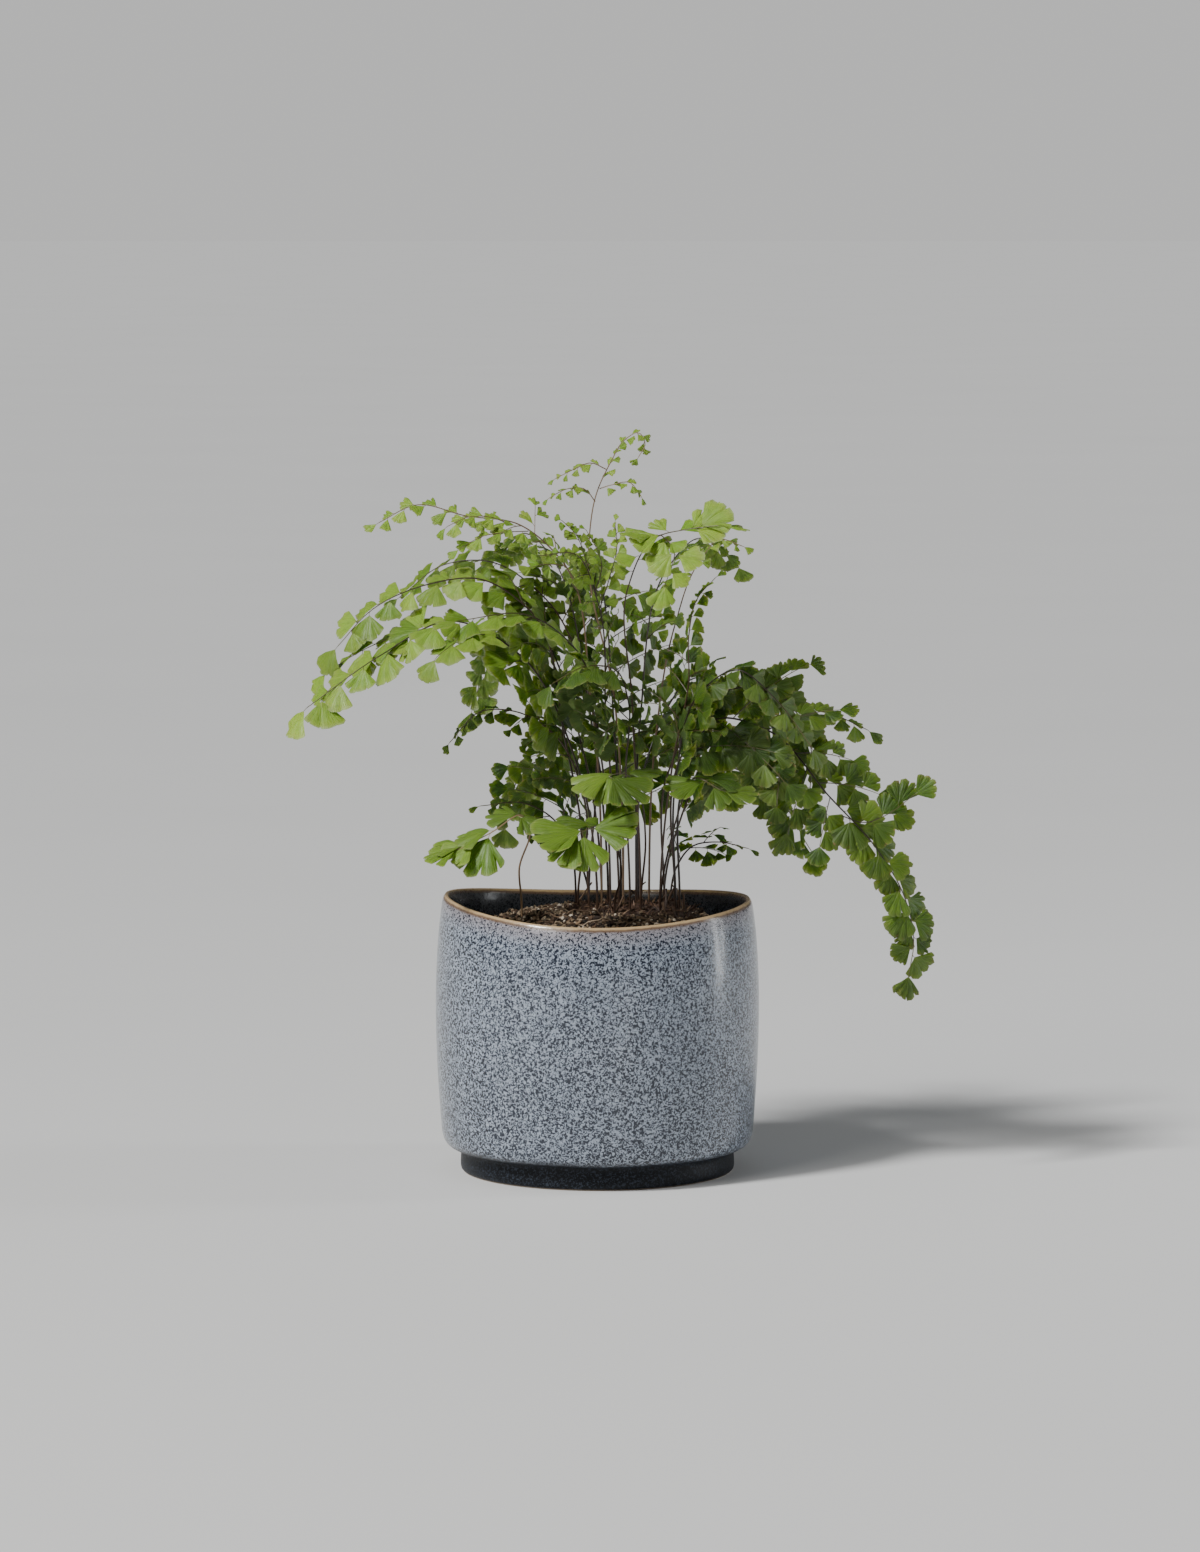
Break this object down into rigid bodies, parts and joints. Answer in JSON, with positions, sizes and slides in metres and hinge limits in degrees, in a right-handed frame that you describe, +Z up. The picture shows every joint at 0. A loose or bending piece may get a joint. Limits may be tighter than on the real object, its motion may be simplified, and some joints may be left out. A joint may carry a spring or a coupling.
{
  "type": "potted fern",
  "caption": "Maidenhair fern with fan-shaped leaflets on thin dark stems, in a barrel-shaped speckled glazed pot with an inset foot.",
  "frame": {"origin": "middle of the pot's foot, on the surface that the pot stands on", "axes": "+Z up; -Y towards the viewer of the picture; +X to the picture's right"},
  "size_m": [0.2975, 0.1909, 0.3429],
  "materials": {
    "glaze": "glossy speckled glaze",
    "potting_mix": "loose bark mix",
    "rhizome_skin": "rough",
    "leaf": "satin leaf on a wiry stem"
  },
  "bodies": {
    "root": {"pot": "glaze", "soil": "potting_mix", "rhizome": "rhizome_skin", "frond_left_low_arch": "leaf", "frond_left_high_arch": "leaf", "frond_left_back_arch": "leaf", "frond_left_young": "leaf", "frond_top_young": "leaf", "frond_upper_right": "leaf", "frond_top_middle": "leaf", "frond_middle_left_front": "leaf", "frond_middle_front": "leaf", "frond_dark_left": "leaf", "frond_low_front_middle": "leaf", "frond_low_front": "leaf", "frond_low_right": "leaf", "frond_low_left": "leaf", "frond_low_left_back": "leaf", "frond_right_upright": "leaf", "frond_right_thin_tip": "leaf", "frond_right_arch": "leaf", "frond_right_middle": "leaf", "frond_right_hanging": "leaf", "frond_right_front": "leaf", "frond_right_low": "leaf", "frond_back_left_arch": "leaf", "frond_back_tall": "leaf", "frond_back_right_arch": "leaf", "frond_back_low_left": "leaf", "frond_back_low_middle": "leaf", "frond_back_low_right": "leaf", "frond_back_right_high": "leaf", "frond_back_left_high": "leaf"}
  },
  "joints": []
}
